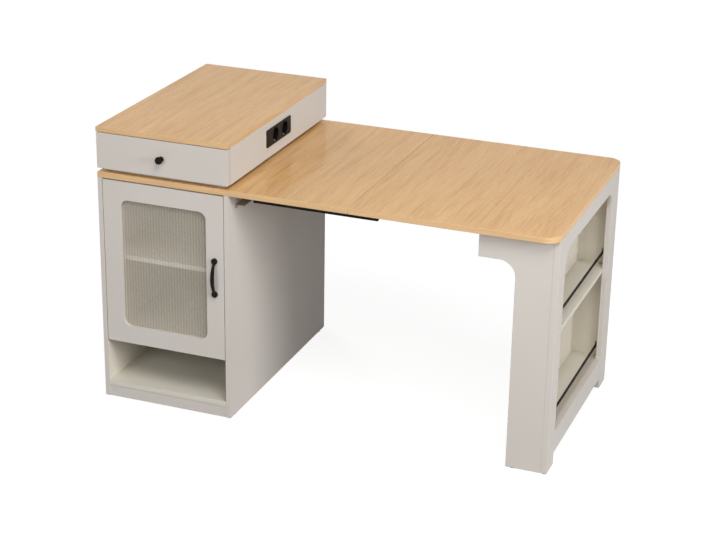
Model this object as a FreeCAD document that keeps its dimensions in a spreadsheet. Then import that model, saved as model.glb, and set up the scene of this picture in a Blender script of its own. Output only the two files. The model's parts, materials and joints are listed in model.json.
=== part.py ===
import FreeCAD, Part
import math
import os

import Sketcher

# Kitchen table with a storage cabinet, a raised drawer unit with sockets, and a shelf unit
# at the far end whose two boards draw out on telescopic runners.
# X runs along the table, Y from the front to the back, Z up. The origin is on the floor,
# under the middle of the whole piece of furniture, handle included.

os.makedirs("parts", exist_ok=True)
doc = FreeCAD.newDocument("KitchenTable")
sheet = doc.addObject("Spreadsheet::Sheet", "sizes")

SIZES = [
    # the table top, three oak boards in a row
    ("endLength", 240), ("tableDepth", 765), ("tableHeight", 750), ("oakThick", 18),
    ("fixedLength", 811), ("leafLength", 387), ("seamGap", 0.8), ("cornerRadius", 46),
    ("oakEase", 1.5),
    # the cabinet
    ("cabinetWidth", 435), ("panelThick", 15), ("glideThick", 3), ("glideRadius", 7),
    ("glideInset", 40), ("plinthHeight", 41), ("plinthSetback", 2), ("backThick", 6),
    ("backRebate", 7), ("shelfThick", 15), ("shelfBase", 459), ("shelfSetback", 42),
    ("shelfPlay", 1.5), ("pinRadius", 2.5), ("pinHoleDepth", 9), ("pinReach", 8),
    ("pinPlay", 0.05), ("pinCollar", 4), ("pinCollarThick", 1), ("pinRowFront", 90),
    ("pinRowBack", 150), ("pinPitch", 64), ("pinHoleCount", 3), ("boardRelief", 2),
    # the door
    ("doorHeight", 530), ("doorThick", 18), ("doorGap", 2), ("doorTopGap", 4),
    ("doorBorder", 58), ("windowRadius", 25), ("glassLap", 9), ("glassPlay", 1),
    ("glassRebate", 8), ("glassThick", 3.4), ("ribPitch", 9.5), ("ribFlat", 0.6),
    ("ribHeight", 1.4), ("beadWidth", 8),
    ("cupRadius", 17.5), ("cupDepth", 11.5), ("cupWall", 1.5), ("cupFlange", 3.5),
    ("cupFlangeThick", 1.2), ("cupEdge", 22.5), ("cupHeight", 85), ("fitPlay", 0.05),
    ("hingePlateThick", 2), ("hingePlateLength", 48), ("hingePlateHeight", 50),
    ("hingeArmWidth", 15), ("hingeArmThick", 10), ("hingeArmStart", 12), ("hingeTip", 27),
    ("hingeArmPlay", 1), ("hingeArmBehind", 6), ("hingeArmShort", 4), ("hingeBend", 2),
    ("catchWidth", 44), ("catchDepth", 15), ("catchHeight", 13), ("catchInset", 46),
    ("strikeThick", 1.5), ("strikeMargin", 3),
    ("handleSpan", 107), ("handleReach", 26), ("handleRadius", 6.4), ("handleWaist", 4.2),
    ("handleFoot", 9.5), ("handleFootThick", 8), ("handleFootEase", 1.5), ("handleSeat", 3.6),
    ("handleEdge", 30), ("handleHeight", 268),
    ("screwRadius", 2), ("screwHead", 4), ("screwHeadThick", 2),
    # the raised drawer unit
    ("unitGap", 12), ("unitHeight", 130), ("unitTopThick", 16), ("unitFloorThick", 12),
    ("spacerInset", 25), ("spacerWidth", 45), ("dividerThick", 12), ("dividerPlace", 262),
    ("drawerFrontThick", 16), ("drawerFrontGap", 2), ("drawerPlay", 2), ("drawerWall", 12),
    ("drawerLength", 240), ("drawerBoxHeight", 78), ("drawerFloorThick", 4),
    ("drawerLift", 2), ("slideThick", 13), ("slideHeight", 35), ("slideWall", 1.2),
    ("slidePlay", 0.5), ("slideLength", 236), ("slideInset", 2), ("slideDrop", 26),
    ("knobBase", 8.5), ("knobBaseThick", 3), ("knobNeck", 5), ("knobNeckLength", 8),
    ("knobHead", 11.5), ("knobSwell", 4), ("knobRim", 4), ("knobCrown", 3),
    ("socketLength", 184), ("socketHeight", 56), ("socketPlace", 278), ("socketDrop", 23),
    ("socketThick", 3), ("socketRound", 4), ("socketLip", 2.5), ("wellRadius", 22),
    ("wellDepth", 13), ("wellWall", 1.2), ("wellSpacing", 70), ("wellOffset", 8),
    ("pinHoleRadius", 2.5), ("pinHoleSpacing", 19), ("housingDepth", 34), ("housingWall", 1.5),
    ("housingPlay", 0.3),
    ("inletRadius", 12), ("inletWall", 3), ("inletFlange", 4), ("inletFlangeThick", 2),
    ("inletInset", 105),
    # the runners under the table top
    ("runnerGap", 47), ("runnerAhead", 66), ("runnerHeight", 36), ("runnerThick", 16),
    ("runnerWall", 1.8), ("runnerPlay", 0.6), ("runnerInset", 76), ("runnerPad", 2),
    ("runnerPadLength", 60), ("runnerPadEnd", 20),
    ("bracketThick", 3), ("bracketFoot", 30), ("bracketDrop", 30),
    ("bracketInset", 9), ("bracketEnd", 6),
    ("ledgerDrop", 40), ("ledgerHeight", 13), ("ledgerReach", 30), ("ledgerThick", 3),
    ("ledgerInset", 48),
    # the shelf unit at the far end
    ("endOverhang", 2), ("endInset", 33), ("endSidePanel", 18), ("endFrame", 18),
    ("legWidth", 126), ("armHeight", 80), ("armRadius", 50), ("stileWidth", 71),
    ("frameTopRail", 52), ("frameRadius", 60), ("footHeight", 36), ("endRailSetback", 2),
    ("endRailLip", 13), ("endFloorTop", 94), ("endShelfTop", 415), ("galleryHeight", 42),
    ("galleryBehind", 10), ("galleryRadius", 4), ("galleryFlange", 8),
    ("galleryFlangeThick", 5), ("galleryFlangeEase", 2), ("stretcherHeight", 50),
    ("stretcherThick", 15),
    ("stretcherInset", 6), ("battenThick", 22), ("battenWidth", 50), ("battenInset", 140),
    ("battenStart", 30),
]
for row, (alias, number) in enumerate(SIZES, start=1):
    sheet.set("A%d" % row, alias)
    sheet.set("B%d" % row, str(number))
    sheet.setAlias("B%d" % row, alias)
doc.recompute()


class Size:
    """A length that knows its number and how it follows from the sheet."""

    def __init__(self, number, text):
        self.number = float(number)
        self.text = text

    def __add__(self, other):
        other = size(other)
        return Size(self.number + other.number, "(%s + %s)" % (self.text, other.text))

    __radd__ = __add__

    def __sub__(self, other):
        other = size(other)
        return Size(self.number - other.number, "(%s - %s)" % (self.text, other.text))

    def __rsub__(self, other):
        return size(other) - self

    def __mul__(self, factor):
        return Size(self.number * factor, "(%s * %r)" % (self.text, factor))

    __rmul__ = __mul__

    def __truediv__(self, factor):
        return Size(self.number / factor, "(%s / %r)" % (self.text, factor))


def size(value):
    """A plain number as a Size; a Size stays as it is."""
    if isinstance(value, Size):
        return value
    return Size(value, "%r" % value)


class Cells:
    """The sheet's cells by name."""


c = Cells()
for alias, _ in SIZES:
    setattr(c, alias, Size(getattr(sheet, alias), "sizes." + alias))

# Levels and lines that several pieces share. x counts from the table's left end, y from its
# front edge and z from the floor.
tableLength = c.fixedLength + c.leafLength + c.endLength
left = tableLength / -2
front = (c.handleReach - c.inletFlangeThick - c.tableDepth) / 2
slabUnder = c.tableHeight - c.oakThick
cabinetInner = c.cabinetWidth - c.panelThick * 2
doorBack = c.doorThick + c.boardRelief
doorBase = slabUnder - c.doorTopGap - c.doorHeight
doorLeft = c.panelThick + c.doorGap
doorWidth = c.cabinetWidth - doorLeft * 2
windowWidth = doorWidth - c.doorBorder * 2
windowHeight = c.doorHeight - c.doorBorder * 2
cupboardFloor = doorBase + c.boardRelief
boardDepth = c.tableDepth - c.backThick
glassWidth = windowWidth + (c.glassLap - c.glassPlay) * 2
glassHeight = windowHeight + (c.glassLap - c.glassPlay) * 2
glassFront = c.doorThick - c.glassRebate
ribTop = c.glassThick + c.ribHeight
unitBase = c.tableHeight + c.unitGap
unitTopBase = unitBase + c.unitHeight - c.unitTopThick
unitFloorTop = unitBase + c.unitFloorThick
unitFront = c.drawerFrontThick + c.drawerPlay
unitDepth = c.tableDepth - unitFront
drawerLeft = c.panelThick + c.slideThick
drawerWidth = c.cabinetWidth - drawerLeft * 2
drawerBase = unitFloorTop + c.drawerLift + c.drawerFloorThick
slideBase = unitTopBase - c.slideDrop - c.slideHeight
socketBase = unitTopBase - c.socketDrop - c.socketHeight
cutLength = c.socketLength - c.socketLip * 4
cutHeight = c.socketHeight - c.socketLip * 2
runnerTop = slabUnder - c.runnerPad
runnerStart = c.cabinetWidth + c.runnerGap
runnerLength = c.fixedLength + c.runnerAhead - runnerStart
runnerBase = runnerTop - c.runnerHeight
leafStart = c.fixedLength + c.seamGap
endBoardStart = c.fixedLength + c.leafLength
endOuter = tableLength - c.endOverhang
endFrameStart = endOuter - c.endFrame
endStart = endBoardStart + c.seamGap
legStart = endOuter - c.legWidth
endPanelLength = endFrameStart - endStart
endHeight = slabUnder - c.glideThick
endDepth = c.tableDepth - c.endInset * 2
innerDepth = endDepth - c.endSidePanel * 2
openingDepth = endDepth - c.stileWidth * 2

nodes = []


def bind(thing, **lengths):
    """Tie properties of a document object to the sheet."""
    for name, length in lengths.items():
        thing.setExpression(name, size(length).text)


def place(thing, x, y, z, rotation=None):
    """Put an object at a place counted from the table's left front corner on the floor."""
    if rotation:
        thing.Placement = FreeCAD.Placement(FreeCAD.Vector(), rotation)
    thing.setExpression("Placement.Base.x", (left + x).text)
    thing.setExpression("Placement.Base.y", (front + y).text)
    thing.setExpression("Placement.Base.z", size(z).text)
    return thing


def keep(thing, name):
    """Mark an object as one finished sub-part."""
    thing.Label = name
    nodes.append(thing)
    return thing


def block(name, x, y, z, length, width, height):
    box = doc.addObject("Part::Box", name)
    bind(box, Length=length, Width=width, Height=height)
    return place(box, x, y, z)


def board(name, x, y, z, length, width, height):
    """A plain panel of the furniture, square edged."""
    return keep(block(name, x, y, z, length, width, height), name)


def group(name, members):
    """Identical pieces that share one node."""
    bundle = doc.addObject("Part::Compound", name)
    bundle.Links = members
    return keep(bundle, name)


def new_body(name):
    return doc.addObject("PartDesign::Body", name)


def new_sketch(body, plane, offset=None):
    """A sketch on one of the body's own origin planes, moved along the plane's normal."""
    role = plane + "_Plane"
    support = [f for f in body.Origin.OriginFeatures if f.Role == role][0]
    sketch = body.newObject("Sketcher::SketchObject", body.Name + "Sketch")
    sketch.AttachmentSupport = [(support, "")]
    sketch.MapMode = "FlatFace"
    if offset is not None:
        # the XZ plane looks along -Y, the other two along their plus axis
        along = offset * -1 if plane == "XZ" else size(offset)
        sketch.setExpression("AttachmentOffset.Base.z", along.text)
    return sketch


def pin_point(sketch, geometry, end, x, y):
    """Fix one point of a sketch at sheet-driven distances from the sketch's origin."""
    for kind, value, axis in (("DistanceX", size(x), -2), ("DistanceY", size(y), -1)):
        if value.text == "0":
            sketch.addConstraint(Sketcher.Constraint("PointOnObject", geometry, end, axis))
            continue
        rule = Sketcher.Constraint(kind, -1, 1, geometry, end, value.number)
        index = sketch.addConstraint(rule)
        sketch.setExpression("Constraints[%d]" % index, value.text)


def set_radius(sketch, geometry, radius):
    radius = size(radius)
    index = sketch.addConstraint(Sketcher.Constraint("Radius", geometry, radius.number))
    sketch.setExpression("Constraints[%d]" % index, radius.text)


def unit_step(start, end):
    """The direction of a line along one axis, as whole numbers."""
    across = end[0].number - start[0].number
    up = end[1].number - start[1].number
    if abs(across) > abs(up):
        return (1 if across > 0 else -1, 0)
    return (0, 1 if up > 0 else -1)


def draw_outline(sketch, corners):
    """A closed outline of level and upright lines; a third value rounds that corner."""
    spots = [(size(p[0]), size(p[1]), size(p[2]) if len(p) > 2 else None) for p in corners]
    count = len(spots)
    entries = []
    exits = []
    for number, (x, y, radius) in enumerate(spots):
        before = unit_step(spots[number - 1], (x, y))
        after = unit_step((x, y), spots[(number + 1) % count])
        if radius is None:
            entries.append((x, y))
            exits.append((x, y))
            continue
        entries.append((x - radius * before[0], y) if before[0] else (x, y - radius * before[1]))
        exits.append((x + radius * after[0], y) if after[0] else (x, y + radius * after[1]))
    lines = []
    for number in range(count):
        start = exits[number]
        end = entries[(number + 1) % count]
        segment = Part.LineSegment(FreeCAD.Vector(start[0].number, start[1].number, 0),
                                   FreeCAD.Vector(end[0].number, end[1].number, 0))
        lines.append(sketch.addGeometry(segment, False))
        pin_point(sketch, lines[-1], 2, *end)
    for number, (x, y, radius) in enumerate(spots):
        if radius is None:
            joint = Sketcher.Constraint("Coincident", lines[number - 1], 2, lines[number], 1)
            sketch.addConstraint(joint)
            continue
        entry, leave = entries[number], exits[number]
        pin_point(sketch, lines[number], 1, *leave)
        centre_x = entry[0].number + leave[0].number - x.number
        centre_y = entry[1].number + leave[1].number - y.number
        first = math.atan2(entry[1].number - centre_y, entry[0].number - centre_x)
        last = math.atan2(leave[1].number - centre_y, leave[0].number - centre_x)
        ends = (lines[number - 1], 2), (lines[number], 1)
        if (last - first) % math.tau > math.pi:
            first, last = last, first
            ends = ends[1], ends[0]
        circle = Part.Circle(FreeCAD.Vector(centre_x, centre_y, 0), FreeCAD.Vector(0, 0, 1),
                             radius.number)
        arc = sketch.addGeometry(Part.ArcOfCircle(circle, first, last), False)
        for end, (line, line_end) in enumerate(ends, start=1):
            sketch.addConstraint(Sketcher.Constraint("Coincident", arc, end, line, line_end))
        set_radius(sketch, arc, radius)


def draw_circle(sketch, x, y, radius):
    x, y, radius = size(x), size(y), size(radius)
    circle = Part.Circle(FreeCAD.Vector(x.number, y.number, 0), FreeCAD.Vector(0, 0, 1),
                         radius.number)
    geometry = sketch.addGeometry(circle, False)
    pin_point(sketch, geometry, 3, x, y)
    set_radius(sketch, geometry, radius)


def rectangle(x, y, length, height, radius=None):
    """The four corners of a rectangle, rounded alike where a radius is given."""
    x, y = size(x), size(y)
    corners = [(x, y), (x + length, y), (x + length, y + height), (x, y + height)]
    if radius is None:
        return corners
    return [corner + (radius,) for corner in corners]


def draw(body, plane, outlines=(), circles=(), offset=None):
    sketch = new_sketch(body, plane, offset)
    for corners in outlines:
        draw_outline(sketch, corners)
    for circle in circles:
        draw_circle(sketch, *circle)
    return sketch


def pad(body, sketch, length, plane):
    """Grow a sketch towards the plus axis across its plane."""
    feature = body.newObject("PartDesign::Pad", body.Name + "Pad")
    feature.Profile = sketch
    feature.Reversed = plane == "XZ"
    bind(feature, Length=length)
    body.Tip = feature
    doc.recompute()
    return feature


def cut(body, sketch, depth, plane):
    """Cut a sketch towards the plus axis across its plane, and see that it cuts."""
    before = body.Shape.Volume
    feature = body.newObject("PartDesign::Pocket", body.Name + "Pocket")
    feature.Profile = sketch
    feature.Reversed = plane != "XZ"
    bind(feature, Length=depth)
    body.Tip = feature
    doc.recompute()
    if body.Shape.Volume >= before:
        raise ValueError(body.Name + ": a pocket cuts nothing")
    return feature


def revolve(body, corners):
    """Turn an outline, drawn in the XZ plane, about the Z axis."""
    sketch = draw(body, "XZ", [corners])
    feature = body.newObject("PartDesign::Revolution", body.Name + "Turn")
    feature.Profile = sketch
    feature.ReferenceAxis = (sketch, ["V_Axis"])
    feature.Angle = 360
    body.Tip = feature
    doc.recompute()
    return feature


def ease(body, radius, wanted):
    """Round the edges of a body that a test on the edge picks out."""
    base = body.Tip
    names = ["Edge%d" % n for n, edge in enumerate(base.Shape.Edges, start=1) if wanted(edge)]
    feature = body.newObject("PartDesign::Fillet", body.Name + "Ease")
    feature.Base = (base, names)
    bind(feature, Radius=radius)
    body.Tip = feature
    doc.recompute()
    return feature


def flip(corners, width):
    """An outline turned left for right within its width."""
    turned = []
    for corner in reversed(corners):
        turned.append((width - corner[0],) + tuple(corner[1:]))
    return turned


def profile_bar(name, plane, corners, length):
    """A bar of one section."""
    body = new_body(name)
    pad(body, draw(body, plane, [corners]), length, plane)
    return body


def turned_piece(name, corners):
    body = new_body(name)
    revolve(body, corners)
    return body


UP_TO_FRONT = FreeCAD.Rotation(FreeCAD.Vector(1, 0, 0), 90)
UP_TO_BACK = FreeCAD.Rotation(FreeCAD.Vector(1, 0, 0), -90)
UP_TO_RIGHT = FreeCAD.Rotation(FreeCAD.Vector(0, 1, 0), 90)
UP_TO_LEFT = FreeCAD.Rotation(FreeCAD.Vector(0, 1, 0), -90)


# ---- table top ------------------------------------------------------------------------------

def oak_board(name, x, z, thickness, corners):
    """An oak-faced board whose top and bottom edges are eased all round."""
    body = new_body(name)
    pad(body, draw(body, "XY", [corners]), thickness, "XY")
    top = thickness.number

    def on_rim(edge):
        low, high = edge.BoundBox.ZMin, edge.BoundBox.ZMax
        return high - low < top / 2 and (high > top / 2 or low < top / 2)

    ease(body, c.oakEase, on_rim)
    return keep(place(body, x, 0, z), name)


def rounded_end(length, depth, radius):
    """A rectangle whose two corners at the far end are rounded."""
    return [(0, 0), (length, 0, radius), (length, depth, radius), (0, depth)]


def make_table_top():
    oak_board("fixed_board", 0, slabUnder, c.oakThick,
              rectangle(0, 0, c.fixedLength, c.tableDepth))
    leaf = c.leafLength - c.seamGap
    oak_board("leaf_board", leafStart, slabUnder, c.oakThick,
              rectangle(0, 0, leaf, c.tableDepth))
    oak_board("end_board", endBoardStart, slabUnder, c.oakThick,
              rounded_end(c.endLength, c.tableDepth, c.cornerRadius))


# ---- cabinet --------------------------------------------------------------------------------

def pin_levels():
    """Heights of the shelf pins' centres, counted from the side panel's foot."""
    return c.shelfBase - c.pinRadius - c.glideThick - c.pinPitch


def cabinet_side(name, x, inner_first):
    """A side panel: a rebate for the back panel and two columns of shelf-pin holes."""
    body = new_body(name)
    height = slabUnder - c.glideThick
    pad(body, draw(body, "XY", [rectangle(0, 0, c.panelThick, c.tableDepth)]), height, "XY")
    rebate_x = 0 if inner_first else c.panelThick - c.backRebate
    rebate = rectangle(rebate_x, c.tableDepth - c.backThick, c.backRebate, c.backThick)
    cut(body, draw(body, "XY", [rebate]), height, "XY")
    rows = [(c.pinRowFront, pin_levels(), c.pinRadius),
            (c.tableDepth - c.pinRowBack, pin_levels(), c.pinRadius)]
    face = None if inner_first else c.panelThick - c.pinHoleDepth
    holes = cut(body, draw(body, "YZ", circles=rows, offset=face), c.pinHoleDepth, "YZ")
    column = body.newObject("PartDesign::LinearPattern", name + "Pattern")
    column.Originals = [holes]
    column.Direction = (holes.Profile[0], ["V_Axis"])
    column.Occurrences = int(c.pinHoleCount.number)
    bind(column, Length=c.pinPitch * (c.pinHoleCount.number - 1))
    body.Tip = column
    return keep(place(body, x, 0, c.glideThick), name)


def shelf_pin(name, x, y, rotation):
    """A stepped pin: a shank in its hole and a collar that stops at the panel."""
    shank = c.pinRadius - c.pinPlay
    deep = c.pinHoleDepth + c.pinCollarThick
    corners = [(0, 0), (shank, 0), (shank, c.pinHoleDepth), (c.pinCollar, c.pinHoleDepth),
               (c.pinCollar, deep), (c.pinRadius, deep),
               (c.pinRadius, c.pinHoleDepth + c.pinReach),
               (0, c.pinHoleDepth + c.pinReach)]
    body = turned_piece(name, corners)
    return place(body, x, y, c.shelfBase - c.pinRadius, rotation)


def glide(name, x, y):
    disc = turned_piece(name, rectangle(0, 0, c.glideRadius, c.glideThick))
    return place(disc, x, y, 0)


def make_cabinet():
    cabinet_side("cabinet_side_left", 0, False)
    cabinet_side("cabinet_side_right", c.cabinetWidth - c.panelThick, True)
    back_left = c.panelThick - c.backRebate
    board("cabinet_back", back_left, boardDepth, c.plinthHeight,
          c.cabinetWidth - back_left * 2, c.backThick, slabUnder - c.plinthHeight)
    board("cabinet_top", c.panelThick, doorBack, slabUnder - c.panelThick,
          cabinetInner, boardDepth - doorBack, c.panelThick)
    board("cupboard_floor", c.panelThick, doorBack, cupboardFloor,
          cabinetInner, boardDepth - doorBack, c.panelThick)
    board("niche_floor", c.panelThick, 0, c.plinthHeight,
          cabinetInner, boardDepth, c.panelThick)
    board("plinth", c.panelThick, c.plinthSetback, c.glideThick,
          cabinetInner, c.panelThick, c.plinthHeight - c.glideThick)
    board("cupboard_shelf", c.panelThick + c.shelfPlay, c.shelfSetback, c.shelfBase,
          cabinetInner - c.shelfPlay * 2, boardDepth - c.boardRelief - c.shelfSetback,
          c.shelfThick)
    pins = []
    for row, y in (("front", c.pinRowFront), ("back", c.tableDepth - c.pinRowBack)):
        start = c.panelThick - c.pinHoleDepth
        pins.append(shelf_pin("pin_left_" + row, start, y, UP_TO_RIGHT))
        pins.append(shelf_pin("pin_right_" + row, c.cabinetWidth - start, y, UP_TO_LEFT))
    group("shelf_pins", pins)
    glides = []
    for side, x in (("left", c.panelThick / 2), ("right", c.cabinetWidth - c.panelThick / 2)):
        for row, y in (("front", c.glideInset), ("back", c.tableDepth - c.glideInset)):
            glides.append(glide("cabinet_glide_%s_%s" % (side, row), x, y))
    group("cabinet_glides", glides)


# ---- door -----------------------------------------------------------------------------------

def cup_places():
    """Centres of the two hinge cups on the door, counted from its lower left corner."""
    return [(c.cupEdge, c.cupHeight), (c.cupEdge, c.doorHeight - c.cupHeight)]


def door_frame():
    body = new_body("door_frame")
    pad(body, draw(body, "XZ", [rectangle(0, 0, doorWidth, c.doorHeight)]),
        c.doorThick, "XZ")
    window = rectangle(c.doorBorder, c.doorBorder, windowWidth, windowHeight, c.windowRadius)
    cut(body, draw(body, "XZ", [window]), c.doorThick, "XZ")
    lap = c.doorBorder - c.glassLap
    rebate = rectangle(lap, lap, windowWidth + c.glassLap * 2, windowHeight + c.glassLap * 2,
                       c.windowRadius)
    cut(body, draw(body, "XZ", [rebate], offset=glassFront), c.glassRebate, "XZ")
    cups = [(x, z, c.cupRadius) for x, z in cup_places()]
    cut(body, draw(body, "XZ", circles=cups, offset=c.doorThick - c.cupDepth),
        c.cupDepth, "XZ")
    return keep(place(body, doorLeft, 0, doorBase), "door_frame")


def rib_outline(sketch, start, width, height):
    """A shallow round rib: its chord on the glass and an arc of the rib's height."""
    start, width, height = size(start), size(width), size(height)
    radius = (width.number ** 2 / 4 + height.number ** 2) / (2 * height.number)
    centre = FreeCAD.Vector(start.number + width.number / 2,
                            c.glassThick.number + height.number - radius, 0)
    half = math.asin(width.number / 2 / radius)
    chord = Part.LineSegment(FreeCAD.Vector(start.number, c.glassThick.number, 0),
                             FreeCAD.Vector((start + width).number, c.glassThick.number, 0))
    line = sketch.addGeometry(chord, False)
    pin_point(sketch, line, 1, start, c.glassThick)
    pin_point(sketch, line, 2, start + width, c.glassThick)
    circle = Part.Circle(centre, FreeCAD.Vector(0, 0, 1), radius)
    arc = sketch.addGeometry(
        Part.ArcOfCircle(circle, math.pi / 2 - half, math.pi / 2 + half), False)
    sketch.addConstraint(Sketcher.Constraint("Coincident", arc, 1, line, 2))
    sketch.addConstraint(Sketcher.Constraint("Coincident", arc, 2, line, 1))
    rise = "(%s ^ 2 / 4 + %s ^ 2) / (2 * %s)" % (width.text, height.text, height.text)
    set_radius(sketch, arc, Size(radius, rise))


def door_glass():
    """Fluted glass: flat in front, a row of upright round ribs behind."""
    body = new_body("door_glass")
    pane = rectangle(0, 0, glassWidth, glassHeight, c.windowRadius - c.glassPlay)
    pad(body, draw(body, "XZ", [pane]), c.glassThick, "XZ")
    count = int((glassWidth.number - c.windowRadius.number) // c.ribPitch.number)
    margin = (glassWidth - c.ribPitch * count) / 2
    sketch = new_sketch(body, "XY", c.windowRadius)
    rib_outline(sketch, margin + c.ribFlat / 2, c.ribPitch - c.ribFlat, c.ribHeight)
    rib = pad(body, sketch, glassHeight - c.windowRadius * 2, "XY")
    row = body.newObject("PartDesign::LinearPattern", "RibPattern")
    row.Originals = [rib]
    row.Direction = (sketch, ["H_Axis"])
    row.Occurrences = count
    bind(row, Length=c.ribPitch * (count - 1))
    body.Tip = row
    inset = c.doorBorder - c.glassLap + c.glassPlay
    return keep(place(body, doorLeft + inset, glassFront, doorBase + inset), "door_glass")


def glass_bead():
    """The retaining ring that holds the glass in its rebate from behind."""
    body = new_body("glass_bead")
    lap = c.glassLap * 2 - c.fitPlay * 2
    outer = rectangle(0, 0, windowWidth + lap, windowHeight + lap, c.windowRadius)
    inner = rectangle(c.beadWidth, c.beadWidth, windowWidth + lap - c.beadWidth * 2,
                      windowHeight + lap - c.beadWidth * 2, c.windowRadius - c.beadWidth / 2)
    pad(body, draw(body, "XZ", [outer, inner]), c.glassRebate - ribTop, "XZ")
    inset = c.doorBorder - c.glassLap + c.fitPlay
    return keep(place(body, doorLeft + inset, glassFront + ribTop, doorBase + inset),
                "glass_bead")


# how many rings carry the bow on either side of its crest
BOW_RINGS = 6
# how far a bevel of three flats cuts in at its middle flat, as a share of its width
BEVEL_SHARE = 0.3


def handle_place():
    return doorLeft + doorWidth - c.handleEdge, doorBase + c.handleHeight


def bow_section(name, share, radius):
    """One ring of the bow, square to its arc; share runs from -1 to 1 along the arc."""
    rise = c.handleReach - c.handleRadius - c.handleSeat
    half = c.handleSpan / 2
    bend = "((%s ^ 2 + %s ^ 2) / (2 * %s))" % (half.text, rise.text, rise.text)
    turn = "(asin(%s / %s) * %r)" % (half.text, bend, share)
    x, z = handle_place()
    crest = c.handleRadius - c.handleReach
    ring = doc.addObject("Part::Circle", name)
    bind(ring, Radius=radius)
    ring.Placement = FreeCAD.Placement(FreeCAD.Vector(), UP_TO_FRONT)
    ring.setExpression("Placement.Base.x", (left + x).text)
    ring.setExpression("Placement.Base.y",
                       "%s + %s * (1 - cos(%s))" % ((front + crest).text, bend, turn))
    ring.setExpression("Placement.Base.z", "%s + %s * sin(%s)" % (z.text, bend, turn))
    ring.setExpression("Placement.Rotation.Angle", "-1 * %s" % turn)
    return ring


def door_handle():
    """A bow handle: a spindle-shaped bar bent outwards between two round feet."""
    x, z = handle_place()
    slim = c.handleWaist
    full = c.handleRadius
    swell = full - slim
    rings = []
    for number in range(-BOW_RINGS, BOW_RINGS + 1):
        share = number / BOW_RINGS
        bulge = (1 + math.cos(math.pi * share)) / 2
        rings.append(bow_section("bow_ring_%d" % len(rings), share, slim + swell * bulge))
    bow = doc.addObject("Part::Loft", "handle_bow")
    bow.Sections = rings
    bow.Solid = True
    bow.Ruled = True
    foot = [(0, 0), (c.handleFoot, 0), (c.handleFoot, c.handleFootThick - c.handleFootEase),
            (c.handleFoot - c.handleFootEase, c.handleFootThick), (0, c.handleFootThick)]
    lower = place(turned_piece("handle_foot_lower", foot), x, 0, z - c.handleSpan / 2,
                  UP_TO_FRONT)
    upper = place(turned_piece("handle_foot_upper", foot), x, 0, z + c.handleSpan / 2,
                  UP_TO_FRONT)
    whole = doc.addObject("Part::MultiFuse", "door_handle")
    whole.Shapes = [bow, lower, upper]
    return keep(whole, "door_handle")


def handle_screws():
    """The two screws through the door into the handle's feet; their heads show inside."""
    x, z = handle_place()
    screws = []
    for label, sign in (("lower", -1), ("upper", 1)):
        corners = [(0, 0), (c.screwHead, 0), (c.screwRadius, c.screwHeadThick),
                   (0, c.screwHeadThick)]
        head = turned_piece("screw_" + label, corners)
        screws.append(place(head, x, c.doorThick, z + c.handleSpan * (sign * 0.5),
                            UP_TO_BACK))
    return group("handle_screws", screws)


def hinge_cups():
    outer = c.cupRadius - c.fitPlay
    inner = c.cupRadius - c.cupWall
    flange = c.cupRadius + c.cupFlange
    deep = c.cupDepth + c.cupFlangeThick
    corners = [(0, 0), (outer, 0), (outer, c.cupDepth), (flange, c.cupDepth),
               (flange, deep), (inner, deep), (inner, c.cupWall), (0, c.cupWall)]
    cups = []
    for number, (x, z) in enumerate(cup_places(), start=1):
        cup = turned_piece("hinge_cup_%d" % number, corners)
        cups.append(place(cup, doorLeft + x, c.doorThick - c.cupDepth, doorBase + z,
                          UP_TO_BACK))
    return group("hinge_cups", cups)


def hinge_arms():
    """The cabinet's half of the concealed hinges: a screwed plate and a cranked arm."""
    arms = []
    for number, (_, z) in enumerate(cup_places(), start=1):
        body = new_body("hinge_arm_%d" % number)
        plate = rectangle(0, c.hingeArmStart, c.hingePlateThick, c.hingePlateLength)
        pad(body, draw(body, "XY", [plate]), c.hingePlateHeight, "XY")
        low = (c.hingePlateHeight - c.hingeArmWidth) / 2
        near = c.hingeArmStart + c.hingeArmBehind
        end = c.hingeArmStart + c.hingePlateLength - c.hingeArmShort
        deep = c.hingePlateThick + c.hingeArmThick
        crank = [(0, near), (c.hingePlateThick, near), (c.hingePlateThick, c.hingeArmPlay),
                 (c.hingeTip, c.hingeArmPlay), (c.hingeTip, c.hingeArmThick, c.hingeBend),
                 (deep, c.hingeArmThick, c.hingeBend), (deep, end, c.hingeBend), (0, end)]
        pad(body, draw(body, "XY", [crank], offset=low), c.hingeArmWidth, "XY")
        arms.append(place(body, c.panelThick, doorBack, doorBase + z - c.hingePlateHeight / 2))
    return group("hinge_arms", arms)


def door_catch():
    """A magnetic catch under the cabinet's top board, and its strike on the door."""
    x = c.cabinetWidth - c.panelThick - c.catchInset - c.catchWidth
    z = slabUnder - c.panelThick - c.catchHeight
    body = new_body("door_catch")
    pad(body, draw(body, "XY", [rectangle(0, 0, c.catchWidth, c.catchDepth)]),
        c.catchHeight, "XY")
    keep(place(body, x, doorBack, z), "door_catch")
    margin = c.strikeMargin
    strike = new_body("catch_strike")
    pad(strike, draw(strike, "XZ", [rectangle(0, 0, c.catchWidth - margin * 2,
                                              c.catchHeight - margin / 2)]),
        c.strikeThick, "XZ")
    keep(place(strike, x + margin, c.doorThick, z), "catch_strike")


def make_door():
    door_frame()
    door_glass()
    glass_bead()
    door_handle()
    handle_screws()
    hinge_cups()
    hinge_arms()
    door_catch()


# ---- raised drawer unit ---------------------------------------------------------------------

def unit_side_right():
    """The right-hand side, cut out for the socket strip."""
    body = new_body("unit_side_right")
    height = unitTopBase - unitBase
    pad(body, draw(body, "YZ", [rectangle(0, 0, unitDepth, height)]), c.panelThick, "YZ")
    hole = rectangle(c.socketPlace + c.socketLip * 2 - unitFront,
                     socketBase + c.socketLip - unitBase, cutLength, cutHeight)
    cut(body, draw(body, "YZ", [hole]), c.panelThick, "YZ")
    return keep(place(body, c.cabinetWidth - c.panelThick, unitFront, unitBase),
                "unit_side_right")


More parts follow.
